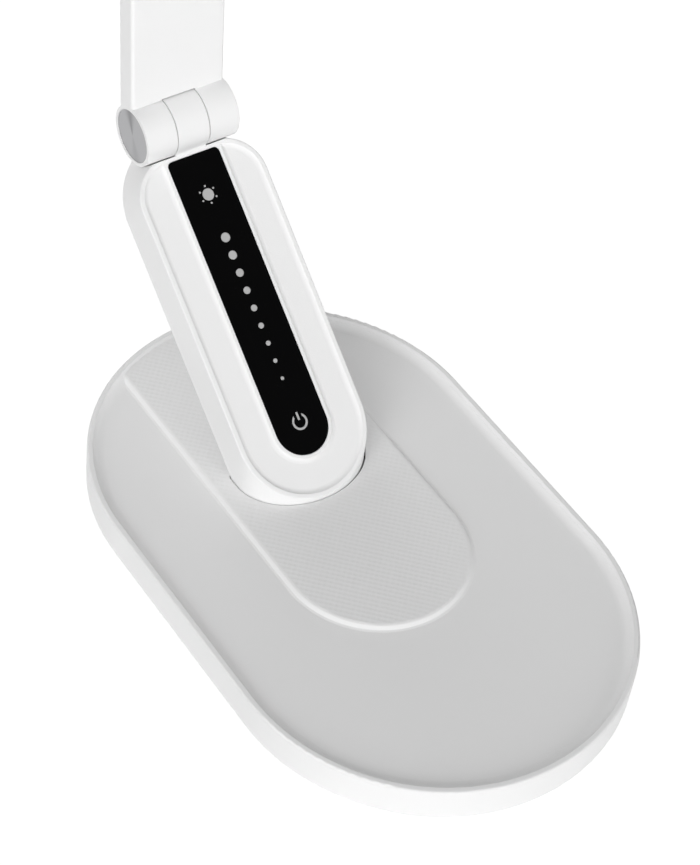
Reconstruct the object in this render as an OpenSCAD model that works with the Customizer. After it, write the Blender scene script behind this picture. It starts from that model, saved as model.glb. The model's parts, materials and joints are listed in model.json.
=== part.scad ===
// Folding LED desk lamp: an obround tray base, a fixed leaning stem with a touch panel,
// a swing arm on a barrel hinge and a light head on a second, smaller barrel hinge.
// Millimetres. Origin: centre of the base on the desk plane. +Z up, the front is -Y.

/* [Base] */
// Radius of the base's round ends, half its width
base_r = 65; // [62:0.5:76]
// Half the distance between the centres of the base's round ends
base_half = 38; // [36:0.5:60]
// Height of the base's outer wall
wall_h = 12.8; // [12.6:0.1:16]
// Thickness of the base's outer wall
wall_t = 2.2; // [1.6:0.1:3]
// Depth of the dish below the rim
dish_depth = 2.4; // [1.6:0.1:3]
// Radius of the sweep from the dish floor up to the rim
dish_sweep = 4; // [3.2:0.1:6]
// Distance from the base's outer wall to the edge of the dish
rim_w = 1.6; // [1.4:0.1:2]
// Thickness of the dish skin
skin_t = 1.8; // [1.4:0.1:2]
// Half-width of the raised pad that carries the stem
pad_r = 31.9; // [28:0.1:36]
// Distance of the pad's middle line to the right of the base's
pad_x = 0.7; // [0:0.1:1]
// Distance from the centre of the base forward to the centre of the pad's round front end
pad_front = 8.1; // [4:0.1:14]
// Height of the pad above the dish floor
pad_rise = 1.4; // [1.2:0.1:2]
// Width of the pad's soft edge
pad_edge = 2.4; // [1.6:0.1:3]
// Thickness of the bottom plate
plate_t = 3.2; // [3:0.1:3.4]
// Thickness of the iron counterweight
weight_t = 5; // [4:0.1:5.1]
// Distance that the rubber mat stands proud of the bottom plate
mat_h = 0.8; // [0.6:0.1:0.9]
// Half-width of the rubber mat
mat_r = 45; // [40:0.5:46]

/* [Stem] */
// Lean of the stem's face above horizontal, degrees
stem_tilt = 39; // [37:0.5:41]
// Distance behind the base's centre of the middle of the panel's round lower end
stem_y = 34.4; // [33:0.2:36]
// Height of that point above the desk
stem_z = 28.5; // [28:0.1:29.5]
// Half-width of the stem and radius of its round lower end
stem_r = 22.8; // [22.2:0.1:23.4]
// Distance between the centres of the two round ends of the stem's back
stem_len = 79; // [78.4:0.1:79.4]
// Radius of the two upper corners of the stem's face
shoulder_r = 13.7; // [12:0.1:16]
// Thickness of the stem
stem_t = 15.2; // [14.8:0.1:15.8]
// Wall of the stem's body
stem_wall = 2.4; // [2:0.1:2.6]
// Radius of the rounding along the stem's front edge
stem_edge = 0.6; // [0.5:0.1:1]
// Width of the rim round the stem's face, with its sweep down to the face
stem_rim = 3.3; // [3.1:0.05:3.7]
// Depth of the recessed face below the rim and the bezel
face_recess = 0.75; // [0.6:0.05:0.9]
// Radius of the sweeps from the face up to the rim and up to the bezel
face_sweep = 2.3; // [1.8:0.1:2.6]
// Half-width of the black touch lens
lens_r = 9.2; // [8.6:0.1:9.6]
// Length of the touch lens from its round end's centre to its straight end
lens_len = 91.1; // [89:0.1:91.4]
// Thickness of the touch lens
lens_t = 1.2; // [1:0.1:1.6]
// Width of the bezel's flat top round the lens
bezel_w = 1.2; // [0.8:0.1:1.6]
// Pitch of the nine brightness dots
dot_pitch = 5.93; // [5.4:0.01:6.2]

/* [Lower hinge] */
// Distance from the centre of the panel's round end to the hinge axis, along the stem
hinge_u = 102.8; // [102.6:0.1:104]
// Radius of the hinge barrel
hinge_r = 9.9; // [9.6:0.1:10.2]
// Half-length of the stem's middle knuckle
mid_half = 5.6; // [5:0.1:6]
// Radius of the hinge pin
pin_r = 3; // [2.6:0.1:3.2]

/* [Arm] */
// Lean of the arm back from vertical, degrees
arm_lean = 3.7; // [2:0.1:6]
// Distance between the two hinge axes
arm_len = 240; // [230:1:260]
// Width of the arm, also the length of both hinge barrels
arm_w = 33; // [32:0.2:36]
// Thickness of the arm
arm_t = 7.9; // [7.4:0.1:8.6]
// Wall of the arm's body
arm_wall = 2; // [1.6:0.1:2.2]

/* [Head] */
// Radius of the head's hinge barrel
tip_r = 8; // [7.6:0.1:8.4]
// Distance from the hinge axis to the front end of the head
head_len = 200; // [180:1:204]
// Width of the light head
head_w = 40; // [36:0.5:46]
// Thickness of the light head
head_t = 11.5; // [11.2:0.1:12.6]
// Wall of the head's housing
head_wall = 1.8; // [1.5:0.1:2]

/* [Hidden] */
$fn = 96;

// clearances
part_gap = 0.15;     // between pieces that are fitted together once
shaft_gap = 0.05;    // round a pin or a screw, on the radius
knuckle_gap = 0.35;  // between neighbouring knuckles, filled by a friction washer
swing_gap = 0.4;     // round a barrel that turns beside another piece
slot_gap = 0.25;     // round the stem's foot in the pad
head_gap = 0.3;      // round the head of a screw in its recess, on the radius
hole_end = 1;        // left empty past the end of a screw
end_gap = 0.2;       // past the end of a cable or a short screw
eps = 0.01;          // lets a cut run past the face it opens
far = 100;           // takes a cut past the edges of any piece
joint_overlap = 0.5; // how far two solids of one piece run into each other

// heights in the base
base_z = mat_h;
plate_z = base_z + plate_t;
rim_z = base_z + wall_h;
floor_z = rim_z - dish_depth;
pad_z = floor_z + pad_rise;
inner_r = base_r - wall_t;
ceiling_z = floor_z - skin_t;
pad_ceiling_z = pad_z - skin_t;
bottom_round = 0.8;
crest_round = 0.8;

// screws of the base
screw_r = 1.4;
screw_head_r = 2.6;
screw_head_h = 1.2;
low_head_h = 0.9;
socket_share = 0.75;
head_sink = 1.5;
boss_r = 3.6;
boss_inset = 9;
boss_end_angle = 45;
mat_sink = 0.8;

// counterweight
weight_r = inner_r - boss_inset - boss_r - 4;
weight_channel = 8;
weight_screw_x = 33;
weight_screw_y = 52;
weight_sink = 2.2;
weight_gap = 2;
weight_hole = 1.8;

// power inlet: a flat slot across the rear wall, on a board that stands on the bottom plate
inlet_w = 8.9;
inlet_h = 3.2;
inlet_len = 7.5;
inlet_shell = 0.3;
inlet_end = 1;
inlet_reach = 4;
tongue_inset = 1.2;
tongue_t = 0.7;
inlet_board_t = 1;
inlet_board_l = 18;
inlet_board_w = 14;
inlet_board_lift = 0.6;
inlet_board_gap = 1.2;
inlet_post_r = 1.6;
inlet_post_inset = 2.5;
inlet_chip = [6, 6, 1.6];
inlet_chip_at = 2;
inlet_y = base_half + base_r;
inlet_face = 0.6;
inlet_z = plate_z + inlet_board_lift + inlet_board_t + inlet_h / 2;
inlet_board_y = inlet_y - wall_t - inlet_board_gap;

// stem frame: X across, Y up along the face, Z out of the face
low_u = -0.45;
high_u = hinge_u - hinge_r - swing_gap;
face_high_u = high_u + 0.7;
back_u = low_u + stem_len;
split_u = 72;
shoulder_inset = 0.02;
shoulder_fn = 180;
stem_back_edge = 1;
ring_r = stem_r - stem_edge;
ring_len = ring_r * cos(stem_tilt);
foot_y = stem_y + low_u * cos(stem_tilt) + stem_edge * sin(stem_tilt);
foot_front = foot_y - ring_len - stem_edge;
foot_top_z = stem_z + low_u * sin(stem_tilt) - stem_edge * cos(stem_tilt);
foot_low_z = foot_top_z - ring_r * sin(stem_tilt);
foot_slope = atan2(foot_top_z - foot_low_z, foot_y - foot_front);
foot_clear = 0.2;
foot_back = stem_y + stem_t * sin(stem_tilt) + foot_clear
    - (stem_z - stem_t * cos(stem_tilt) - pad_z) / tan(stem_tilt);
foot_sink = 0.3;
foot_step = 0.05;
foot_tail = 8;
foot_hole = 6;
slot_play = 0.35;    // extra width of the slot on its right
hinge_n = -0.3;
notch_r = hinge_r + swing_gap;
hinge_neck_in = 2;
neck_round = 1.2;
tangent_miss = 0.02; // two round faces cross by this much where they would only touch
front_wall = 2.2;
cavity_front = -face_recess - front_wall;
ledge_w = 1;
cover_t = 2;
cover_low_u = 15.5;
cavity_high_u = high_u - 1.8;
cover_boss_r = 3;
cover_boss_x = 14;
cover_boss_u = [14, 72];
cover_hole_n = cavity_front - 0.8;
recess_clear = 0.5;
lens_corner = 1.6;
window_r = lens_r - 1.6;
window_len = lens_len - 4;
stem_screw_r = 1.9;
stem_screw_head_r = 3.4;
stem_screw_x = 14;
stem_screw_y = foot_y - 8;
front_screw_y = foot_front + 5.5;
stem_screws_at = [[-stem_screw_x, stem_screw_y], [stem_screw_x, stem_screw_y], [0, front_screw_y]];
cable_r = 1.5;
cable_hole_r = 2.4;
cable_wall = 1.2;
cable_y = foot_back - cable_hole_r - cable_wall;
cable_rise = 9.5;
cable_top = pad_z + cable_rise;
cable_rest = 0.05;

// touch panel: a sun, a row of shrinking dots and a power sign
mark_t = 0.08;
sun_u = 77.9;
sun_r = 1.95;
rays = 6;
ray_at = 2.8;
ray_r = 0.33;
top_dot_u = 63.5;
dots = 9;
dot_big = 1.55;
dot_small = 0.6;
power_u = 1.4;
power_r = 2.7;
power_w = 0.72;
power_gap = 1.4;
power_bar_low = 0.55;
power_bar_high = 3.2;
touch_pad_r = 2.4;
touch_pads_at = [power_u, top_dot_u - 8 * dot_pitch, top_dot_u - 4 * dot_pitch, top_dot_u, sun_u];

// control board behind the panel
board_low = -1;
board_len = 85;
pcb_t = 1.4;
chip = [7, 7, 1.4];
chips_u = [26, 44];
plug = [8, 5, 3];
plug_u = 60;

// the hinge axes in the row frame
hinge_y = stem_y + hinge_u * cos(stem_tilt) - hinge_n * sin(stem_tilt);
hinge_z = stem_z + hinge_u * sin(stem_tilt) + hinge_n * cos(stem_tilt);
tip_y = hinge_y + arm_len * sin(arm_lean);
tip_z = hinge_z + arm_len * cos(arm_lean);

// hinge hardware
arm_half = arm_w / 2;
out_half = mid_half + knuckle_gap;
cap_t = 1.1;
cap_sink = 1.3;
well_depth = 4.4;
seat_x = arm_half - cap_sink - well_depth;
washer_t = 0.8;
nut_t = 2.4;
ring_w = 1.2;
washer_step = 3;      // washer's radius past the pin's
washer_play = 0.03;   // each side of a friction washer
washer_in = 0.5;      // friction washer's edge inside the barrel's surface
nut_step = 3.2;
pin_head_step = 2.6;
well_step = 3.5;
pin_end = 0.5;        // pin inside its head
pin_out = 0.2;        // pin past its nut

// arm frame: X across, Y back, Z up along the arm, origin on the lower hinge axis
arm_front = 0.2;
arm_back = arm_t - arm_front;
arm_edge = 1.2;
arm_cover_t = 1.6;
arm_end_wall = 3;
arm_low = hinge_r + arm_end_wall;
arm_high = arm_len - tip_r - arm_end_wall;
arm_boss_r = 3;
arm_boss_inset = 7;
arm_hole_y = 0.6;
arm_bosses_z = [arm_low + arm_boss_inset, (arm_low + arm_high) / 2, arm_high - arm_boss_inset];
strip_w = 6;
strip_t = 1.2;
strip_x = 4.5;
strip_gap = 2;
arm_cable_x = -12.6;
arm_cable_w = 1.6;
arm_cable_d = 3;

// head frame: X across, Y back, Z up, origin on the upper hinge axis
tip_pin_r = 2.4;
head_low = 1.5;
head_top = head_low + head_t;
head_back = -tip_r - 0.8;
head_front = -head_len;
head_r = head_w / 2;
head_corner = 5;
head_edge = 2;
head_low_edge = 0.5;
frame_t = 1.8;
diffuser_t = 2;
frame_land = 3.2;
optic_step = 14;
optic_back = head_back - optic_step;
heat_t = 1;
board_t = 1;
led_size = [2.8, 3.5, 0.8];
led_rows = [-9, 9];
led_pitch = 9;
head_ceiling = head_top - head_wall;
neck_len = 5;
neck_h = 6;
neck_overlap = 1;
head_boss_r = 2.8;
head_boss_x = head_r - 8;
head_boss_y = head_back - 7;
head_hole = 8;
heat_inset = 1.5;
led_inset = 3;
led_first = optic_back - 8;
head_cable_w = 8;
head_cable_t = 1;

white = [0.93, 0.93, 0.92];
grey = [0.83, 0.83, 0.83];
metal = [0.72, 0.72, 0.72];
dark = [0.08, 0.08, 0.08];
green = [0.1, 0.35, 0.2];

// ---------- shared shapes ----------

// A disc-ended slot shape along Y from y = a to y = b
module obround_2d(r, a, b) {
    translate([0, a]) circle(r);
    translate([0, b]) circle(r);
    translate([-r, a]) square([2 * r, b - a]);
}

module obround(r, a, b, z0, z1) {
    translate([0, 0, z0]) linear_extrude(z1 - z0) obround_2d(r, a, b);
}

// Sweeps a profile (X out from the axis, Y up) round a slot-shaped path along Y
module obround_sweep(a, b) {
    translate([0, a, 0]) rotate_extrude() children();
    translate([0, b, 0]) rotate_extrude() children();
    translate([0, b, 0]) rotate([90, 0, 0]) linear_extrude(b - a) {
        children();
        mirror([1, 0]) children();
    }
}

// A tongue along Y: its end at y = a is round with radius r, its end at y = b is straight
// with corners of radius c. It is shrunk by g all round
module tongue_2d(r, a, b, c, g) {
    translate([0, a]) circle(r - g);
    translate([-r + g, a]) square([2 * (r - g), b - c - a]);
    translate([-r + c, a]) square([2 * (r - c), b - g - a]);
    for (s = [-1, 1]) translate([s * (r - c), b - c]) circle(c - g);
}

// Fills the same outline with a profile that is drawn for a given radius $r
module tongue_sweep(r, a, b, c) {
    let ($r = r) {
        translate([0, a, 0]) rotate_extrude() children();
        translate([0, b - c, 0]) rotate([90, 0, 0]) linear_extrude(b - c - a) {
            children();
            mirror([1, 0]) children();
        }
    }
    let ($r = c) {
        for (s = [-1, 1]) translate([s * (r - c), b - c, 0]) rotate_extrude() children();
        translate([-r + c, b - c, 0]) rotate([90, 0, 90]) linear_extrude(2 * (r - c)) children();
    }
}

// The corner left outside a round of radius r, for cutting a convex edge at [x, y]
module edge_cut_2d(x, y, r, up) {
    s = up ? 1 : -1;
    difference() {
        translate([x - r, up ? y - r : y - eps]) square([r + eps, r + eps]);
        translate([x - r, y - s * r]) circle(r);
    }
}

// A screw that stands head down at z = 0, its shank pointing up
module screw(r, head_r, head_h, length) {
    difference() {
        cylinder(r = head_r, h = head_h);
        translate([0, 0, -eps]) cylinder(r = r * socket_share, h = head_h / 2, $fn = 6);
    }
    cylinder(r = r, h = length);
}

module screw_hole(h) {
    cylinder(r = screw_r + shaft_gap, h = h);
}

module screw_pass(h) {
    cylinder(r = screw_r + part_gap, h = h);
}

module head_recess(h) {
    cylinder(r = screw_head_r + head_gap, h = h);
}

module rod_x(r, x0, x1) {
    translate([x0, 0, 0]) rotate([0, 90, 0]) cylinder(r = r, h = x1 - x0);
}

module ring_x(r_in, r_out, x0, x1) {
    difference() {
        rod_x(r_out, x0, x1);
        rod_x(r_in, x0 - eps, x1 + eps);
    }
}

module both_sides() {
    children();
    mirror([1, 0, 0]) children();
}

module in_stem() {
    translate([0, stem_y, stem_z]) rotate([stem_tilt, 0, 0]) children();
}

module in_arm() {
    translate([0, hinge_y, hinge_z]) rotate([-arm_lean, 0, 0]) children();
}

module in_head() {
    translate([0, tip_y, tip_z]) children();
}

module at_base_bosses() {
    both_sides() translate([inner_r - boss_inset, 0, 0]) children();
    both_sides() for (s = [-1, 1])
        translate([(inner_r - boss_inset) * sin(boss_end_angle),
            s * (base_half + (inner_r - boss_inset) * cos(boss_end_angle)), 0]) children();
}

module at_weight_screws() {
    both_sides() for (s = [-1, 1]) translate([weight_screw_x, s * weight_screw_y, 0]) children();
}

module at_stem_screws() {
    for (p = stem_screws_at) translate([p[0], p[1], 0]) children();
}

// A point on the outline of the stem's rounded lower end seen from above, grown by g
function foot_point(a, g) = let (k = (stem_edge + g) / norm([ring_len * cos(a), ring_r * sin(a)]))
    [ring_r * cos(a) + k * ring_len * cos(a), foot_y - ring_len * sin(a) - k * ring_r * sin(a)];

// A point on the plan's rounded back corner on side s
function back_point(a, g, s, back) = let (e = stem_back_edge)
    [s * (stem_r - e + (e + g) * cos(a)), back - e / sin(stem_tilt) + (e / sin(stem_tilt) + g) * sin(a)];

// The plan of the stem's foot, grown by g, with some play more on its right side
module foot_plan(g, play = 0, back = foot_back) {
    polygon(concat(
        [for (a = [0:4:180]) foot_point(a, g) + [play * (1 + cos(a)) / 2, 0]],
        [for (a = [0:15:90]) back_point(a, g, -1, back)],
        [for (a = [90:-15:0]) back_point(a, g, 1, back) + [play, 0]]));
}

// ---------- base ----------

module tray_profile() {
    difference() {
        translate([0, base_z]) square([base_r, wall_h]);
        edge_cut_2d(base_r, rim_z, crest_round, true);
        edge_cut_2d(base_r, base_z, bottom_round, false);
    }
}

module dish_profile() {
    sweep_x = base_r - rim_w - dish_sweep;
    intersection() {
        translate([0, floor_z]) square([base_r, dish_depth + 1]);
        union() {
            translate([0, floor_z]) square([sweep_x, dish_depth + 1]);
            translate([sweep_x, floor_z + dish_sweep]) circle(dish_sweep);
        }
    }
}

// Half of the pad's section: its edge rises gently, then steeply, then gently again
module pad_profile(r, top, low) {
    polygon([
        [0, low], [r, low], [r, top - pad_rise],
        [r - pad_edge * 0.3, top - pad_rise * 0.85],
        [r - pad_edge * 0.7, top - pad_rise * 0.15],
        [r - pad_edge, top], [0, top],
    ]);
}

module pad_solid(r, top, low) {
    y0 = -pad_front;
    intersection() {
        translate([pad_x, 0, 0]) {
            translate([0, y0, 0]) rotate_extrude() pad_profile(r, top, low);
            translate([0, base_half + base_r, 0]) rotate([90, 0, 0])
                linear_extrude(base_half + base_r - y0) {
                    pad_profile(r, top, low);
                    mirror([1, 0]) pad_profile(r, top, low);
                }
        }
        obround(base_r - rim_w, -base_half, base_half, low - eps, top + eps);
    }
}

module base_tray() color(grey) difference() {
    union() {
        difference() {
            obround_sweep(-base_half, base_half) tray_profile();
            obround_sweep(-base_half, base_half) dish_profile();
            obround(inner_r, -base_half, base_half, base_z - eps, ceiling_z);
        }
        pad_solid(pad_r, pad_z, floor_z - joint_overlap);
        at_base_bosses() translate([0, 0, plate_z])
            cylinder(r = boss_r, h = ceiling_z - plate_z + joint_overlap);
    }
    intersection() {
        pad_solid(pad_r - skin_t, pad_ceiling_z, plate_z);
        obround(inner_r, -base_half, base_half, plate_z, pad_ceiling_z);
    }
    translate([0, 0, plate_z]) linear_extrude(rim_z) foot_plan(slot_gap, slot_play);
    at_base_bosses() translate([0, 0, plate_z - eps])
        screw_hole(ceiling_z - plate_z);
    inlet_cut(part_gap);
}

module bottom_plate() color(white) difference() {
    obround(inner_r - part_gap, -base_half, base_half, base_z, plate_z);
    at_base_bosses() {
        translate([0, 0, base_z - eps]) head_recess(head_sink + eps);
        translate([0, 0, base_z]) screw_pass(plate_t + eps);
    }
    obround(mat_r + part_gap, -base_half, base_half, base_z - eps, base_z + mat_sink);
    at_stem_screws() {
        translate([0, 0, base_z]) cylinder(r = stem_screw_head_r + head_gap, h = mat_sink + screw_head_h);
        translate([0, 0, base_z]) cylinder(r = stem_screw_r + part_gap, h = plate_t + eps);
    }
    at_weight_screws() translate([0, 0, plate_z - weight_hole]) screw_hole(plate_t);
}

module counterweight() color(metal) difference() {
    obround(weight_r, -base_half, base_half, plate_z, plate_z + weight_t);
    translate([0, 0, plate_z - eps]) linear_extrude(weight_t + 2 * eps) foot_plan(weight_gap);
    translate([-weight_channel, foot_back, plate_z - eps])
        cube([2 * weight_channel, base_half + base_r, weight_t + 2 * eps]);
    at_weight_screws() {
        translate([0, 0, plate_z - eps]) screw_pass(weight_t + 2 * eps);
        translate([0, 0, plate_z + weight_t - weight_sink])
            head_recess(weight_sink + eps);
    }
}

module rubber_mat() color(dark) obround(mat_r, -base_half, base_half, 0, base_z + mat_sink);

module base_screws() color(metal) at_base_bosses() translate([0, 0, base_z + head_sink - screw_head_h])
    screw(screw_r, screw_head_r, screw_head_h, ceiling_z - hole_end - base_z - head_sink + screw_head_h);

module weight_screws() color(metal) at_weight_screws()
    translate([0, 0, plate_z + weight_t - weight_sink + screw_head_h]) rotate([180, 0, 0])
        screw(screw_r, screw_head_r, screw_head_h,
            screw_head_h + weight_t - weight_sink + weight_hole - end_gap);

module stem_screws() color(metal) at_stem_screws() translate([0, 0, base_z + mat_sink])
    screw(stem_screw_r, stem_screw_head_r, screw_head_h, plate_t - mat_sink + foot_hole - hole_end);

// ---------- power inlet ----------

// A flat slot shape along X, extruded along Y
module inlet_slot(grow, y0, y1) {
    r = inlet_h / 2 + grow;
    half = inlet_w / 2 - inlet_h / 2;
    translate([0, y1, inlet_z]) rotate([90, 0, 0]) linear_extrude(y1 - y0) {
        translate([-half, 0]) circle(r);
        translate([half, 0]) circle(r);
        translate([-half, -r]) square([2 * half, 2 * r]);
    }
}

module inlet_cut(g) {
    inlet_slot(g, inlet_y - wall_t - inlet_reach, inlet_y + 1);
}

module power_inlet() color(metal) {
    y1 = inlet_y - inlet_face;
    difference() {
        inlet_slot(0, y1 - inlet_len, y1);
        inlet_slot(-inlet_shell, y1 - inlet_len + inlet_end, y1 + eps);
    }
    translate([-inlet_w / 2 + tongue_inset, y1 - inlet_len + inlet_end / 2, inlet_z - tongue_t / 2])
        cube([inlet_w - 2 * tongue_inset, inlet_len - 1.5 * inlet_end, tongue_t]);
}

module inlet_board() color(green) {
    top = inlet_z - inlet_h / 2;
    y0 = inlet_board_y - inlet_board_l;
    translate([-inlet_board_w / 2, y0, top - inlet_board_t])
        cube([inlet_board_w, inlet_board_l, inlet_board_t]);
    translate([-inlet_chip[0] / 2, y0 + inlet_chip_at, top]) cube(inlet_chip);
    both_sides() translate([inlet_board_w / 2 - inlet_post_inset, y0 + inlet_board_l / 2, plate_z])
        cylinder(r = inlet_post_r, h = inlet_board_lift);
}

module base_cable() color(dark) {
    y0 = cable_y + cable_r + end_gap;
    y1 = inlet_board_y - inlet_board_l - end_gap;
    translate([0, y1, plate_z + cable_rest + cable_r]) rotate([90, 0, 0]) cylinder(r = cable_r, h = y1 - y0);
}

// ---------- stem ----------

module stem_slab_profile(r) {
    difference() {
        translate([0, -stem_t]) square([r, stem_t]);
        edge_cut_2d(r, 0, stem_edge, true);
        edge_cut_2d(r, -stem_t, stem_back_edge, false);
    }
}

// The slab with its round lower end, up to just past the height where its shoulders are put on
module stem_slab() {
    high = split_u + joint_overlap;
    translate([0, low_u, 0]) rotate_extrude() stem_slab_profile(stem_r);
    translate([0, high, 0]) rotate([90, 0, 0]) linear_extrude(high - low_u) {
        stem_slab_profile(stem_r);
        mirror([1, 0]) stem_slab_profile(stem_r);
    }
}

// A thin slice of the slab above the split, from depth n outwards
module slab_slice(n) {
    translate([0, 0, n]) linear_extrude(eps) intersection() {
        children();
        translate([-far, split_u]) square([2 * far, far]);
    }
}

// The slab's upper end: square-shouldered at the face, widening to a half-round back
module stem_shoulders() {
    front = stem_edge + shoulder_inset;
    back = stem_back_edge + shoulder_inset;
    hull() for (a = [0:22.5:90]) {
        slab_slice(-eps - front * (1 - sin(a)))
            tongue_2d(stem_r, low_u, face_high_u, shoulder_r, front * (1 - cos(a)), $fn = shoulder_fn);
        slab_slice(-stem_t + back * (1 - sin(a)))
            obround_2d(stem_r - back * (1 - cos(a)), low_u, back_u, $fn = shoulder_fn);
    }
}

// The slab's straight section carried on below its round end
module stem_tail() {
    translate([0, low_u + joint_overlap, 0]) rotate([90, 0, 0]) linear_extrude(2 * stem_r) {
        stem_slab_profile(stem_r);
        mirror([1, 0]) stem_slab_profile(stem_r);
    }
}

// The upright foot: above the pad it is the slab's tail, cut off along the line where the
// stem's rounded edge stands upright; in the base it is a plug
module stem_foot() {
    low = pad_z - foot_sink;
    intersection() {
        translate([0, 0, low - joint_overlap]) linear_extrude(foot_top_z - low + 1)
            foot_plan(-foot_step, 0, foot_back + foot_tail);
        translate([0, foot_front, foot_low_z]) rotate([foot_slope, 0, 0])
            translate([-2 * stem_r, -stem_t, -4 * stem_t]) cube([4 * stem_r, 6 * stem_t, 4 * stem_t]);
        in_stem() stem_tail();
    }
    translate([0, 0, plate_z]) linear_extrude(low - plate_z) foot_plan(-foot_step);
}

// Joins the middle knuckle to the stem's upper end, flush with the bezel, with a small
// concave round up to the barrel
module hinge_neck() {
    low = hinge_n - hinge_r + 1;
    reach = hinge_r + neck_round;
    rise = neck_round - hinge_n;
    round_u = hinge_u - sqrt(reach * reach - rise * rise);
    round_top = hinge_n + rise * hinge_r / reach;
    translate([-mid_half, high_u - hinge_neck_in, low])
        cube([2 * mid_half, hinge_u - high_u + hinge_neck_in, -low]);
    translate([-mid_half, 0, 0]) rotate([90, 0, 90]) linear_extrude(2 * mid_half) difference() {
        translate([round_u, low]) square([hinge_neck_in, round_top - low]);
        translate([round_u + tangent_miss, neck_round - tangent_miss]) circle(neck_round);
    }
}

module face_recess_cut() {
    difference() {
        tongue_sweep(stem_r, low_u, face_high_u, shoulder_r) recess_profile($r);
        bezel_solid();
    }
}

module recess_profile(r) {
    intersection() {
        translate([0, -face_recess]) square([r, face_recess + recess_clear]);
        union() {
            translate([0, -face_recess]) square([r - stem_rim, face_recess + recess_clear]);
            translate([r - stem_rim, face_sweep - face_recess]) circle(face_sweep);
        }
    }
}

// The raised bezel round the lens, swept out into the face
module bezel_profile() {
    top = lens_r + bezel_w;
    sweep_w = sqrt(face_sweep * face_sweep - (face_sweep - face_recess) * (face_sweep - face_recess));
    difference() {
        translate([0, -face_recess - 1]) square([top + sweep_w, face_recess + 1]);
        translate([top + sweep_w, face_sweep - face_recess]) circle(face_sweep);
    }
}

module bezel_solid() {
    rotate_extrude() bezel_profile();
    translate([0, hinge_u, 0]) rotate([90, 0, 0]) linear_extrude(hinge_u) {
        bezel_profile();
        mirror([1, 0]) bezel_profile();
    }
}

// Outline of the lens: round lower end, straight upper end with small corner rounds
module lens_2d(g) {
    r = lens_r + g;
    top = lens_len + g;
    c = lens_corner + g;
    circle(r);
    translate([-r, 0]) square([2 * r, top - c]);
    translate([-r + c, 0]) square([2 * (r - c), top]);
    for (s = [-1, 1]) translate([s * (r - c), top - c]) circle(c);
}

module cover_plan(g) {
    obround_2d(stem_r - stem_wall - g, cover_low_u, back_u);
}

module stem_cavity() {
    translate([0, 0, -stem_t + cover_t - eps]) linear_extrude(stem_t - cover_t + cavity_front + eps)
        tongue_2d(stem_r, cover_low_u, cavity_high_u, shoulder_r, stem_wall + ledge_w);
    translate([0, 0, -stem_t - eps]) linear_extrude(cover_t + eps) cover_plan(0);
}

module at_cover_screws() {
    both_sides() for (u = cover_boss_u) translate([cover_boss_x, u, 0]) children();
}

module stem_body() color(white) difference() {
    union() {
        in_stem() difference() {
            union() {
                stem_slab();
                stem_shoulders();
            }
            both_sides() translate([0, hinge_u, hinge_n]) rod_x(notch_r, mid_half, far);
        }
        stem_foot();
        in_stem() hinge_neck();
        in_stem() translate([0, hinge_u, hinge_n]) rod_x(hinge_r, -mid_half, mid_half);
    }
    in_stem() {
        face_recess_cut();
        translate([0, 0, -lens_t]) linear_extrude(lens_t + 1) lens_2d(part_gap);
        translate([0, 0, cavity_front - eps]) linear_extrude(-lens_t - cavity_front + 2 * eps) window_2d();
        difference() {
            stem_cavity();
            at_cover_screws() translate([0, 0, -stem_t + cover_t]) cylinder(r = cover_boss_r, h = stem_t);
        }
        at_cover_screws() translate([0, 0, -stem_t]) screw_hole(stem_t + cover_hole_n);
        translate([0, hinge_u, hinge_n]) rod_x(pin_r + shaft_gap, -mid_half - 1, mid_half + 1);
    }
    translate([0, cable_y, plate_z - eps]) cylinder(r = cable_hole_r, h = cable_top - plate_z);
    translate([-cable_hole_r, cable_y, plate_z - eps])
        cube([2 * cable_hole_r, foot_back - cable_y + 1, 2 * cable_hole_r]);
    at_stem_screws() translate([0, 0, plate_z - eps]) cylinder(r = stem_screw_r + shaft_gap, h = foot_hole);
    obround(base_r, -base_half, base_half, 0, plate_z);
}

module window_2d() {
    circle(window_r);
    translate([-window_r, 0]) square([2 * window_r, window_len]);
}

module stem_cover() color(white) in_stem() difference() {
    translate([0, 0, -stem_t]) linear_extrude(cover_t) cover_plan(part_gap);
    at_cover_screws() {
        translate([0, 0, -stem_t - eps]) head_recess(screw_head_h + 2 * eps);
        translate([0, 0, -stem_t]) screw_pass(cover_t + eps);
    }
}

module cover_screws() color(metal) in_stem() at_cover_screws() translate([0, 0, -stem_t])
    screw(screw_r, screw_head_r, screw_head_h, stem_t + cover_hole_n - hole_end);

module touch_lens() color(dark) in_stem()
    translate([0, 0, -lens_t]) linear_extrude(lens_t) lens_2d(0);

module panel_marks() color(metal) in_stem() linear_extrude(mark_t) {
    translate([0, sun_u]) {
        circle(sun_r, $fn = 48);
        for (i = [0:rays - 1]) rotate(i * 360 / rays) translate([0, ray_at]) circle(ray_r, $fn = 24);
    }
    for (i = [0:dots - 1]) translate([0, top_dot_u - i * dot_pitch])
        circle(dot_big + (dot_small - dot_big) * i / (dots - 1), $fn = 36);
    translate([0, power_u]) {
        difference() {
            circle(power_r, $fn = 48);
            circle(power_r - power_w, $fn = 48);
            translate([-power_gap, 0]) square([2 * power_gap, power_r + 1]);
        }
        translate([-power_w / 2, power_bar_low]) square([power_w, power_bar_high - power_bar_low]);
    }
}

module control_board() color(green) in_stem() {
    back = cavity_front - pcb_t;
    translate([-lens_r, board_low, back]) cube([2 * lens_r, board_len, pcb_t]);
    for (u = chips_u) translate([-chip[0] / 2, u, back - chip[2]]) cube(chip);
    translate([-plug[0] / 2, plug_u, back - plug[2]]) cube(plug);
}

module touch_pads() color(metal) in_stem() {
    for (u = touch_pads_at) translate([0, u, cavity_front])
        cylinder(r = touch_pad_r, h = -lens_t - cavity_front);
}

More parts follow.
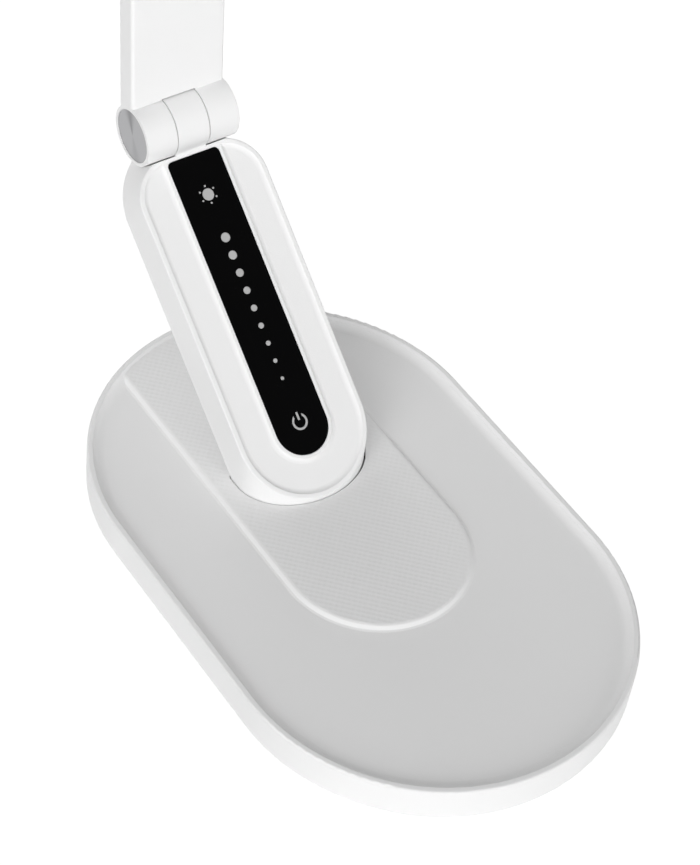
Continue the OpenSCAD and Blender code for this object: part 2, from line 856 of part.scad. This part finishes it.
module stem_cable() color(dark) {
    translate([0, cable_y, plate_z + cable_rest]) cylinder(r = cable_r, h = cable_top - plate_z - hole_end);
}

// ---------- lower hinge ----------

module hinge_pin() color(metal) in_arm() {
    rod_x(pin_r, -seat_x - 2 * washer_t - nut_t - pin_out, seat_x + washer_t + pin_end);
    rod_x(pin_r + pin_head_step, seat_x + washer_t, seat_x + washer_t + nut_t);
}

module hinge_nut() color(metal) in_arm() difference() {
    translate([-seat_x - 2 * washer_t - nut_t, 0, 0]) rotate([0, 90, 0])
        cylinder(r = pin_r + nut_step, h = nut_t, $fn = 6);
    rod_x(pin_r + shaft_gap, -arm_half, 0);
}

module hinge_spring_washers() color(metal) in_arm() {
    for (i = [0, 1])
        ring_x(pin_r + shaft_gap, pin_r + washer_step, -seat_x - (i + 1) * washer_t, -seat_x - i * washer_t);
    ring_x(pin_r + shaft_gap, pin_r + washer_step, seat_x, seat_x + washer_t);
}

module friction_washers() color(white) in_arm() both_sides()
    ring_x(pin_r + shaft_gap, hinge_r - washer_in, mid_half + washer_play, out_half - washer_play);

module cap(r, side) {
    x0 = arm_half - cap_sink;
    rod_x(r, side < 0 ? -x0 - cap_t : x0, side < 0 ? -x0 : x0 + cap_t);
}

module hinge_cap_left() color(metal) in_arm() cap(hinge_r - ring_w, -1);
module hinge_cap_right() color(metal) in_arm() cap(hinge_r - ring_w, 1);

// ---------- arm ----------

// One side's knuckle with its bore, its hardware well and its cap recess
module knuckle(r, bore) {
    difference() {
        rod_x(r, out_half, arm_half);
        rod_x(bore + shaft_gap, out_half - 1, arm_half + 1);
        rod_x(r - ring_w + shaft_gap, arm_half - cap_sink, arm_half + 1);
        rod_x(bore + well_step, seat_x, arm_half);
    }
}

module arm_section_2d(g) {
    w = arm_half - g;
    r = arm_edge;
    difference() {
        translate([-w, -arm_front + g]) square([2 * w, arm_t - 2 * g]);
        for (s = [-1, 1]) scale([s, 1, 1]) {
            difference() {
                translate([w - r, -arm_front + g - eps]) square([r + eps, r + eps]);
                translate([w - r, -arm_front + g + r]) circle(r);
            }
            difference() {
                translate([w - r, arm_back - g - r]) square([r + eps, r + eps]);
                translate([w - r, arm_back - g - r]) circle(r);
            }
        }
    }
}

module arm_cavity() {
    w = arm_half - arm_wall;
    translate([-w, -arm_front + arm_wall, arm_low]) cube([2 * w, arm_t, arm_high - arm_low]);
}

module at_arm_screws() {
    for (z = arm_bosses_z) translate([0, 0, z]) rotate([90, 0, 0]) children();
}

module arm_body() color(white) in_arm() {
    difference() {
        union() {
            difference() {
                linear_extrude(arm_len) arm_section_2d(0);
                rod_x(hinge_r - eps, -far, far);
                translate([0, 0, arm_len]) rod_x(tip_r - eps, -far, far);
                rod_x(notch_r, -out_half - eps, out_half + eps);
                translate([0, 0, arm_len]) rod_x(tip_r + swing_gap, -out_half - eps, out_half + eps);
                arm_cavity();
            }
            both_sides() {
                knuckle(hinge_r, pin_r);
                translate([0, 0, arm_len]) knuckle(tip_r, tip_pin_r);
            }
            intersection() {
                at_arm_screws() translate([0, 0, -arm_back + arm_cover_t])
                    cylinder(r = arm_boss_r, h = arm_t);
                linear_extrude(arm_len) arm_section_2d(0);
            }
        }
        at_arm_screws() translate([0, 0, -arm_back]) screw_hole(arm_back - arm_hole_y);
    }
}

module arm_cover() color(white) in_arm() {
    w = arm_half - arm_wall - part_gap;
    z0 = arm_low + part_gap;
    z1 = arm_high - part_gap;
    difference() {
        translate([-w, arm_back - arm_cover_t, z0]) cube([2 * w, arm_cover_t, z1 - z0]);
        at_arm_screws() {
            translate([0, 0, -arm_back - eps]) head_recess(low_head_h + 2 * eps);
            translate([0, 0, -arm_back]) screw_pass(arm_cover_t + eps);
        }
    }
}

module arm_cover_screws() color(metal) in_arm() at_arm_screws() translate([0, 0, -arm_back])
    screw(screw_r, screw_head_r, low_head_h, arm_back - arm_hole_y - hole_end);

module arm_strip() color(metal) in_arm() {
    both_sides() translate([strip_x, -arm_front + arm_wall, arm_low + strip_gap])
        cube([strip_w, strip_t, arm_high - arm_low - 2 * strip_gap]);
}

module arm_cable() color(dark) in_arm()
    translate([arm_cable_x, -arm_front + arm_wall, arm_low + end_gap])
        cube([arm_cable_w, arm_cable_d, arm_high - arm_low - 2 * end_gap]);

// ---------- upper hinge ----------

module tip_pin() color(metal) in_head() {
    rod_x(tip_pin_r, -seat_x - washer_t - nut_t - pin_out, seat_x + washer_t + pin_end);
    rod_x(tip_pin_r + pin_head_step, seat_x + washer_t, seat_x + washer_t + nut_t);
}

module tip_nut() color(metal) in_head() difference() {
    translate([-seat_x - washer_t - nut_t, 0, 0]) rotate([0, 90, 0])
        cylinder(r = tip_pin_r + nut_step, h = nut_t, $fn = 6);
    rod_x(tip_pin_r + shaft_gap, -arm_half, 0);
}

module tip_washers() color(metal) in_head() {
    both_sides() {
        ring_x(tip_pin_r + shaft_gap, tip_pin_r + washer_step, seat_x, seat_x + washer_t);
        ring_x(tip_pin_r + shaft_gap, tip_r - washer_in, mid_half + washer_play, out_half - washer_play);
    }
}

module tip_cap_left() color(metal) in_head() cap(tip_r - ring_w, -1);
module tip_cap_right() color(metal) in_head() cap(tip_r - ring_w, 1);

// ---------- head ----------

// Plan of the head, shrunk by g: round front end, small corners at the back
module head_plan(g) {
    tongue_2d(head_r - g, head_front + head_r, head_back - g, head_corner - g / 2, 0);
}

module optic_plan(g) {
    intersection() {
        head_plan(g);
        translate([-head_w, head_front - 1]) square([2 * head_w, optic_back - head_front + 1]);
    }
}

module at_head_screws() {
    both_sides() translate([head_boss_x, head_boss_y, 0]) children();
}

module head_posts() {
    at_head_screws() translate([0, 0, head_low + frame_t])
        cylinder(r = head_boss_r, h = head_t - frame_t - head_wall + joint_overlap);
}

module head_profile(r) {
    difference() {
        translate([0, head_low]) square([r, head_t]);
        edge_cut_2d(r, head_top, head_edge, true);
        edge_cut_2d(r, head_low, head_low_edge, false);
    }
}

module head_housing() color(white) in_head() difference() {
    union() {
        difference() {
            tongue_sweep(head_r, head_front + head_r, head_back, head_corner) head_profile($r);
            translate([0, 0, head_low - eps]) linear_extrude(head_t - head_wall + eps) head_plan(head_wall);
        }
        head_posts();
        rod_x(tip_r, -mid_half, mid_half);
        translate([-mid_half, head_back - neck_overlap, head_low]) cube([2 * mid_half, neck_len, neck_h]);
    }
    rod_x(tip_pin_r + shaft_gap, -mid_half - 1, mid_half + 1);
    at_head_screws() translate([0, 0, head_low]) screw_hole(head_hole);
}

module head_frame() color(white) in_head() difference() {
    translate([0, 0, head_low]) linear_extrude(frame_t) head_plan(head_wall + part_gap);
    translate([0, 0, head_low - 1]) linear_extrude(frame_t + 2) optic_plan(head_wall + frame_land);
    at_head_screws() {
        translate([0, 0, head_low - eps]) head_recess(low_head_h + 2 * eps);
        translate([0, 0, head_low]) screw_pass(frame_t + eps);
    }
}

module head_screws() color(metal) in_head() at_head_screws() translate([0, 0, head_low])
    screw(screw_r, screw_head_r, low_head_h, head_hole - hole_end);

module diffuser() color([0.97, 0.97, 0.95]) in_head()
    translate([0, 0, head_low + frame_t]) linear_extrude(diffuser_t) optic_plan(head_wall + part_gap);

module heat_plate() color(metal) in_head()
    translate([0, 0, head_ceiling - heat_t]) linear_extrude(heat_t) optic_plan(head_wall + heat_inset);

module led_board() color(green) in_head()
    translate([0, 0, head_ceiling - heat_t - board_t])
        linear_extrude(board_t) optic_plan(head_wall + led_inset);

module leds() color([0.95, 0.85, 0.3]) in_head() {
    z1 = head_ceiling - heat_t - board_t;
    n = floor((led_first - (head_front + head_r)) / led_pitch);
    for (x = led_rows) for (i = [0:n])
        translate([x - led_size[0] / 2, led_first - i * led_pitch - led_size[1] / 2, z1 - led_size[2]])
            cube(led_size);
}

module head_cable() color(dark) in_head()
    translate([-head_cable_w / 2, optic_back + end_gap, head_ceiling - head_cable_t])
        cube([head_cable_w, head_back - optic_back - head_wall - 2 * end_gap, head_cable_t]);

base_tray();
bottom_plate();
counterweight();
rubber_mat();
base_screws();
weight_screws();
stem_screws();
power_inlet();
inlet_board();
base_cable();
stem_body();
stem_cover();
cover_screws();
touch_lens();
panel_marks();
control_board();
touch_pads();
stem_cable();
hinge_pin();
hinge_nut();
hinge_spring_washers();
friction_washers();
hinge_cap_left();
hinge_cap_right();
arm_body();
arm_cover();
arm_cover_screws();
arm_strip();
arm_cable();
tip_pin();
tip_nut();
tip_washers();
tip_cap_left();
tip_cap_right();
head_housing();
head_frame();
head_screws();
diffuser();
heat_plate();
led_board();
leds();
head_cable();
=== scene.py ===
# Looks of the folding LED desk lamp: materials, light and camera.
# Metres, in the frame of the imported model: +Z up, the front of the lamp is -Y.
import json
import math

import bpy
from mathutils import Matrix, Vector


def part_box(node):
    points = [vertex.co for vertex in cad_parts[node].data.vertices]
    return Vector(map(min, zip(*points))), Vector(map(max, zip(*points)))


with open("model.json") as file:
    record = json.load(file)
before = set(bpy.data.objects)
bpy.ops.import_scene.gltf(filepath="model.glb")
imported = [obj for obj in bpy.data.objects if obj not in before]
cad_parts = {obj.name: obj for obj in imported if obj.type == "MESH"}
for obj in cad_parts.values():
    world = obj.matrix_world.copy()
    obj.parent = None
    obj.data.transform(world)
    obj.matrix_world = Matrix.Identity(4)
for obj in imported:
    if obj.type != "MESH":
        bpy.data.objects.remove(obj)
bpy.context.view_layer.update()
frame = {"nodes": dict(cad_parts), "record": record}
nodes = frame["nodes"]

# ---------- camera of the view ----------
CAM_AZIMUTH = -40.07
CAM_ELEVATION = 47.15
CAM_ROLL = 8.16
CAM_PLACE = (-0.320713, -0.370728, 0.585334)
CAM_LENS = 100.70
SENSOR = 36.0


def make_camera():
    azimuth = math.radians(CAM_AZIMUTH)
    elevation = math.radians(CAM_ELEVATION)
    roll = math.radians(CAM_ROLL)
    back = Vector((
        math.sin(azimuth) * math.cos(elevation),
        -math.cos(azimuth) * math.cos(elevation),
        math.sin(elevation),
    ))
    right = Vector((math.cos(azimuth), math.sin(azimuth), 0))
    up = back.cross(right)
    cam_x = right * math.cos(roll) + up * math.sin(roll)
    cam_y = up * math.cos(roll) - right * math.sin(roll)
    turn = Matrix((cam_x, cam_y, back)).transposed().to_4x4()
    data = bpy.data.cameras.new("view")
    data.lens = CAM_LENS
    data.sensor_width = SENSOR
    data.clip_start = 0.01
    data.clip_end = 20
    camera = bpy.data.objects.new("view", data)
    camera.matrix_world = Matrix.Translation(CAM_PLACE) @ turn
    bpy.context.scene.collection.objects.link(camera)
    bpy.context.scene.camera = camera


# ---------- materials ----------

class Nodes:
    """A short way to build one material's node tree."""

    def __init__(self, name):
        self.material = bpy.data.materials.new(name)
        self.material.use_nodes = True
        self.tree = self.material.node_tree
        self.shader = self.tree.nodes["Principled BSDF"]

    def add(self, kind, **values):
        node = self.tree.nodes.new(kind)
        for key, value in values.items():
            if hasattr(node, key):
                setattr(node, key, value)
            else:
                node.inputs[key.replace("_", " ")].default_value = value
        return node

    def join(self, out_socket, in_socket):
        self.tree.links.new(out_socket, in_socket)

    def place(self):
        return self.add("ShaderNodeTexCoord").outputs["Object"]

    def math(self, operation, a, b=None):
        node = self.add("ShaderNodeMath", operation=operation)
        for socket, value in zip(node.inputs, (a, b)):
            if value is None:
                continue
            if isinstance(value, (int, float)):
                socket.default_value = value
            else:
                self.join(value, socket)
        return node.outputs[0]

    def noise(self, scale, detail=2.0, vector=None):
        node = self.add("ShaderNodeTexNoise")
        node.inputs["Scale"].default_value = scale
        node.inputs["Detail"].default_value = detail
        self.join(vector or self.place(), node.inputs["Vector"])
        return node.outputs["Fac"]

    def spread(self, factor, low, high):
        node = self.add("ShaderNodeMapRange")
        node.inputs["To Min"].default_value = low
        node.inputs["To Max"].default_value = high
        self.join(factor, node.inputs["Value"])
        return node.outputs["Result"]

    def tint(self, factor, low, high):
        node = self.add("ShaderNodeMix", data_type="RGBA")
        self.join(factor, node.inputs["Factor"])
        node.inputs[6].default_value = (*low, 1)
        node.inputs[7].default_value = (*high, 1)
        self.join(node.outputs[2], self.shader.inputs["Base Color"])

    def bump(self, height, distance, under=None):
        node = self.add("ShaderNodeBump")
        node.inputs["Distance"].default_value = distance
        self.join(height, node.inputs["Height"])
        if under is not None:
            self.join(under, node.inputs["Normal"])
        self.join(node.outputs["Normal"], self.shader.inputs["Normal"])
        return node.outputs["Normal"]

    def soft_edges(self, radius):
        """A normal that breaks each crisp moulded edge over a small radius."""
        node = self.add("ShaderNodeBevel", samples=6)
        node.inputs["Radius"].default_value = radius
        return node.outputs["Normal"]

    def from_axis(self, centre):
        """The offset from an axis along X through a point, its length and its direction."""
        offset = self.add("ShaderNodeVectorMath", operation="SUBTRACT")
        offset.inputs[1].default_value = centre
        self.join(self.place(), offset.inputs[0])
        across = self.add("ShaderNodeVectorMath", operation="MULTIPLY")
        across.inputs[1].default_value = (0, 1, 1)
        self.join(offset.outputs[0], across.inputs[0])
        length = self.add("ShaderNodeVectorMath", operation="LENGTH")
        self.join(across.outputs[0], length.inputs[0])
        direction = self.add("ShaderNodeVectorMath", operation="NORMALIZE")
        self.join(across.outputs[0], direction.inputs[0])
        return length.outputs["Value"], direction.outputs[0]

    def facing(self, direction, way, sharpness):
        """1 where a direction points one way, falling off round it."""
        node = self.add("ShaderNodeVectorMath", operation="DOT_PRODUCT")
        node.inputs[1].default_value = way
        self.join(direction, node.inputs[0])
        return self.math("POWER", self.math("MAXIMUM", node.outputs["Value"], 0.0), sharpness)


def shade(colour, share):
    return tuple(channel * share for channel in colour)


def plastic_nodes(name, colour, roughness, grain):
    """Moulded plastic: fine spark-eroded grain, soft edges and a little unevenness in its gloss."""
    m = Nodes(name)
    m.tint(m.noise(40), shade(colour, 0.985), colour)
    m.join(m.spread(m.noise(260, 3), roughness - 0.05, roughness + 0.05), m.shader.inputs["Roughness"])
    m.shader.inputs["IOR"].default_value = 1.46
    m.grained = m.bump(m.noise(2600, 2), grain, m.soft_edges(EDGE_BREAK))
    return m


def plastic(name, colour, roughness=0.42, grain=0.00002):
    return plastic_nodes(name, colour, roughness, grain).material


def tray_plastic(name, colour, roughness, grain):
    """The base's plastic, with a fine woven relief on the flat top of the stem's pad."""
    m = plastic_nodes(name, colour, roughness, grain)
    parts = m.add("ShaderNodeSeparateXYZ")
    m.join(m.place(), parts.inputs[0])
    waves = [
        m.math("SINE", m.math("MULTIPLY", parts.outputs[axis], 2 * math.pi / pitch))
        for axis, pitch in zip("XY", WEAVE_PITCH)
    ]
    on_pad = m.math("COMPARE", parts.outputs["Z"], PAD_TOP)
    on_pad.node.inputs[2].default_value = WEAVE_REACH
    weave = m.math("MULTIPLY", m.math("MULTIPLY", *waves), on_pad)
    m.bump(weave, WEAVE_HEIGHT, m.grained)
    return m.material


def metal(name, colour, roughness=0.3, direction=(1, 1, 1), grain=0.00001):
    """Drawn or turned metal with fine lines along one direction."""
    m = Nodes(name)
    stretch = m.add("ShaderNodeMapping")
    stretch.inputs["Scale"].default_value = direction
    m.join(m.place(), stretch.inputs["Vector"])
    lines = m.noise(900, 4, stretch.outputs["Vector"])
    m.tint(lines, shade(colour, 0.9), colour)
    m.shader.inputs["Metallic"].default_value = 1
    m.join(m.spread(lines, roughness - 0.08, roughness + 0.08), m.shader.inputs["Roughness"])
    m.bump(lines, grain)
    return m.material


def turned_metal(name, colour, roughness, centre):
    """A face turned on a lathe: rings round the axis, and soft rays of sheen from the centre that are
    painted darker into its colour.
    """
    m = Nodes(name)
    radius, direction = m.from_axis(centre)
    rings = m.add("ShaderNodeTexNoise", noise_dimensions="1D")
    rings.inputs["Scale"].default_value = RING_SCALE
    rings.inputs["Detail"].default_value = 3
    m.join(radius, rings.inputs["W"])
    # painted sheen: the colour is made darker in fixed directions across the face, standing in for the
    # reflection of the turned metal
    rays = 0.0
    for way, sharpness, strength in PAINTED_SHEEN_RAYS:
        rays = m.math("ADD", m.math("MULTIPLY", m.facing(direction, way, sharpness), strength), rays)
    level = m.math("SUBTRACT", m.spread(rings.outputs["Fac"], 0.93, 1.0), rays)
    m.tint(level, (0, 0, 0), colour)
    m.shader.inputs["Metallic"].default_value = 1
    m.join(m.spread(rings.outputs["Fac"], roughness - 0.06, roughness + 0.06), m.shader.inputs["Roughness"])
    m.bump(rings.outputs["Fac"], 0.000012)
    return m.material


def rubber(name, colour):
    m = Nodes(name)
    m.tint(m.noise(500, 4), shade(colour, 0.8), colour)
    m.join(m.spread(m.noise(900, 3), 0.65, 0.85), m.shader.inputs["Roughness"])
    m.bump(m.noise(1800, 3), 0.00005)
    return m.material


def glass_black(name):
    """The touch lens: black behind a clear glossy face."""
    m = Nodes(name)
    m.tint(m.noise(30), (0.0012, 0.0012, 0.0013), (0.0018, 0.0018, 0.002))
    m.join(m.spread(m.noise(400, 2), 0.08, 0.12), m.shader.inputs["Roughness"])
    m.shader.inputs["Specular IOR Level"].default_value = 0.02
    m.bump(m.noise(60, 1), 0.000004)
    return m.material


def circuit(name):
    m = Nodes(name)
    m.tint(m.noise(1200, 2), (0.01, 0.08, 0.03), (0.02, 0.14, 0.06))
    m.join(m.spread(m.noise(700, 2), 0.35, 0.5), m.shader.inputs["Roughness"])
    m.bump(m.noise(1500, 2), 0.00003)
    return m.material


def diffuser_sheet(name):
    m = Nodes(name)
    m.tint(m.noise(60), (0.86, 0.86, 0.84), (0.9, 0.9, 0.88))
    m.join(m.spread(m.noise(900, 2), 0.4, 0.5), m.shader.inputs["Roughness"])
    m.shader.inputs["Subsurface Weight"].default_value = 0.3
    m.shader.inputs["Subsurface Radius"].default_value = (0.004, 0.004, 0.004)
    m.bump(m.noise(3000, 2), 0.00002)
    return m.material


EDGE_BREAK = 0.0003
PAD_TOP = 0.0126
WEAVE_PITCH = (0.00233, 0.00242)
WEAVE_REACH = 0.0001
WEAVE_HEIGHT = 0.00004
RING_SCALE = 5000
# Painted sheen: directions across the caps (Y back, Z up), sharpness and depth of the darker rays that are
# painted into the metal's colour
PAINTED_SHEEN_RAYS = (
    ((0, 0.3, 0.95), 26, 0.42),
    ((0, -0.34, -0.94), 20, 0.14),
)


def centre_of(node):
    low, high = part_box(node)
    return tuple((a + b) / 2 for a, b in zip(low, high))


def make_materials():
    white = (0.88, 0.88, 0.88)
    return {
        "tray": tray_plastic("tray", white, 0.5, 0.00003),
        "white_plastic": plastic("white_plastic", white, 0.42),
        "plate": plastic("plate", shade(white, 0.93), 0.6, 0.00004),
        "iron": metal("iron", (0.12, 0.12, 0.12), 0.6, (1, 1, 1), 0.0001),
        "rubber": rubber("rubber", (0.02, 0.02, 0.02)),
        "screw_steel": metal("screw_steel", (0.5, 0.5, 0.5), 0.3),
        "port_metal": metal("port_metal", (0.6, 0.6, 0.61), 0.25, (1, 6, 1)),
        "circuit": circuit("circuit"),
        "wire": rubber("wire", (0.03, 0.03, 0.03)),
        "black_lens": glass_black("black_lens"),
        "marks": plastic("marks", (0.46, 0.46, 0.46), 0.5, 0.00001),
        "pads": metal("pads", (0.6, 0.42, 0.2), 0.3),
        "pin_steel": metal("pin_steel", (0.5, 0.5, 0.5), 0.25, (6, 1, 1)),
        "friction": plastic("friction", shade(white, 0.9), 0.5),
        "strip_steel": metal("strip_steel", (0.45, 0.45, 0.46), 0.35, (1, 1, 6)),
        "heat_alu": metal("heat_alu", (0.6, 0.6, 0.61), 0.4, (1, 5, 1)),
        "diffuser": diffuser_sheet("diffuser"),
        "led": plastic("led", (0.75, 0.62, 0.2), 0.3),
    } | {
        name: turned_metal(name, (0.42, 0.42, 0.43), 0.34, centre_of(name))
        for name in ("hinge_cap_left", "hinge_cap_right", "tip_cap_left", "tip_cap_right")
    }


def dress_nodes(materials):
    slots = {part["node"]: part["material_slot"] for part in frame["record"]["subparts"]}
    for name, node in nodes.items():
        node.data.materials.clear()
        node.data.materials.append(materials.get(name) or materials[slots[name]])


# ---------- stage ----------

FLOOR_SIZE = 3.0
FLOOR_DROP = 0.0002
AMBIENT = 0.22
# Broad soft lights of the studio: azimuth from the front towards +X, elevation, narrowness, strength
SOFT_LIGHTS = (
    (-5, 8, 16, 4.25),
    (-62, 30, 16, 4.5),
    (75, 6, 16, 1.45),
    (175, 20, 16, 2.2),
)
FLOOR_GLOW = 0.92
FLOOR_SHADE = 0.2
FLOOR_WHITE = 0.9
FLOOR_ROUGHNESS = 0.9


def way(azimuth, elevation):
    """The unit vector towards an azimuth, turning from the front to +X, and an elevation."""
    azimuth = math.radians(azimuth)
    elevation = math.radians(elevation)
    return (
        math.sin(azimuth) * math.cos(elevation),
        -math.cos(azimuth) * math.cos(elevation),
        math.sin(elevation),
    )


def tree_math(tree, operation, a, b):
    node = tree.nodes.new("ShaderNodeMath")
    node.operation = operation
    for socket, value in zip(node.inputs, (a, b)):
        if isinstance(value, (int, float)):
            socket.default_value = value
        else:
            tree.links.new(value, socket)
    return node.outputs[0]


def seen_directly(tree):
    """1 for the rays of the camera, of reflections and of clear glass, else 0."""
    path = tree.nodes.new("ShaderNodeLightPath")
    seen = tree_math(tree, "MAXIMUM", path.outputs["Is Camera Ray"], path.outputs["Is Glossy Ray"])
    return tree_math(tree, "MAXIMUM", seen, path.outputs["Is Transmission Ray"])


def make_world():
    """Plain white where it is seen; soft lights round the object otherwise."""
    world = bpy.data.worlds.new("studio")
    bpy.context.scene.world = world
    world.use_nodes = True
    tree = world.node_tree
    tree.nodes.clear()
    direction = tree.nodes.new("ShaderNodeTexCoord").outputs["Generated"]
    level = AMBIENT
    for azimuth, elevation, narrowness, strength in SOFT_LIGHTS:
        facing = tree.nodes.new("ShaderNodeVectorMath")
        facing.operation = "DOT_PRODUCT"
        facing.inputs[1].default_value = way(azimuth, elevation)
        tree.links.new(direction, facing.inputs[0])
        ahead = tree_math(tree, "MAXIMUM", facing.outputs["Value"], 0.0)
        lobe = tree_math(tree, "POWER", ahead, narrowness)
        level = tree_math(tree, "ADD", tree_math(tree, "MULTIPLY", lobe, strength), level)
    seen = seen_directly(tree)
    dark = tree_math(tree, "MULTIPLY", level, tree_math(tree, "SUBTRACT", 1.0, seen))
    background = tree.nodes.new("ShaderNodeBackground")
    background.inputs["Color"].default_value = (1, 1, 1, 1)
    tree.links.new(tree_math(tree, "ADD", dark, seen), background.inputs["Strength"])
    out = tree.nodes.new("ShaderNodeOutputWorld")
    tree.links.new(background.outputs[0], out.inputs["Surface"])


def make_floor():
    """A white floor that keeps a faint shadow of the lamp where it is seen."""
    half = FLOOR_SIZE / 2
    corners = [(-half, -half, 0), (half, -half, 0), (half, half, 0), (-half, half, 0)]
    mesh = bpy.data.meshes.new("floor")
    mesh.from_pydata(corners, [], [(0, 1, 2, 3)])
    floor = bpy.data.objects.new("floor", mesh)
    floor.location.z = -FLOOR_DROP
    bpy.context.scene.collection.objects.link(floor)
    material = bpy.data.materials.new("floor")
    material.use_nodes = True
    tree = material.node_tree
    shader = tree.nodes["Principled BSDF"]
    shader.inputs["Base Color"].default_value = (FLOOR_WHITE, FLOOR_WHITE, FLOOR_WHITE, 1)
    shader.inputs["Roughness"].default_value = FLOOR_ROUGHNESS
    shadow = tree.nodes.new("ShaderNodeBsdfDiffuse")
    shadow.inputs["Color"].default_value = (FLOOR_SHADE, FLOOR_SHADE, FLOOR_SHADE, 1)
    glow = tree.nodes.new("ShaderNodeEmission")
    glow.inputs["Strength"].default_value = FLOOR_GLOW
    both = tree.nodes.new("ShaderNodeAddShader")
    tree.links.new(shadow.outputs[0], both.inputs[0])
    tree.links.new(glow.outputs[0], both.inputs[1])
    mix = tree.nodes.new("ShaderNodeMixShader")
    tree.links.new(seen_directly(tree), mix.inputs[0])
    tree.links.new(shader.outputs[0], mix.inputs[1])
    tree.links.new(both.outputs[0], mix.inputs[2])
    tree.links.new(mix.outputs[0], tree.nodes["Material Output"].inputs["Surface"])
    mesh.materials.append(material)


make_camera()
make_world()
make_floor()
dress_nodes(make_materials())
bpy.context.scene.view_settings.view_transform = "Standard"
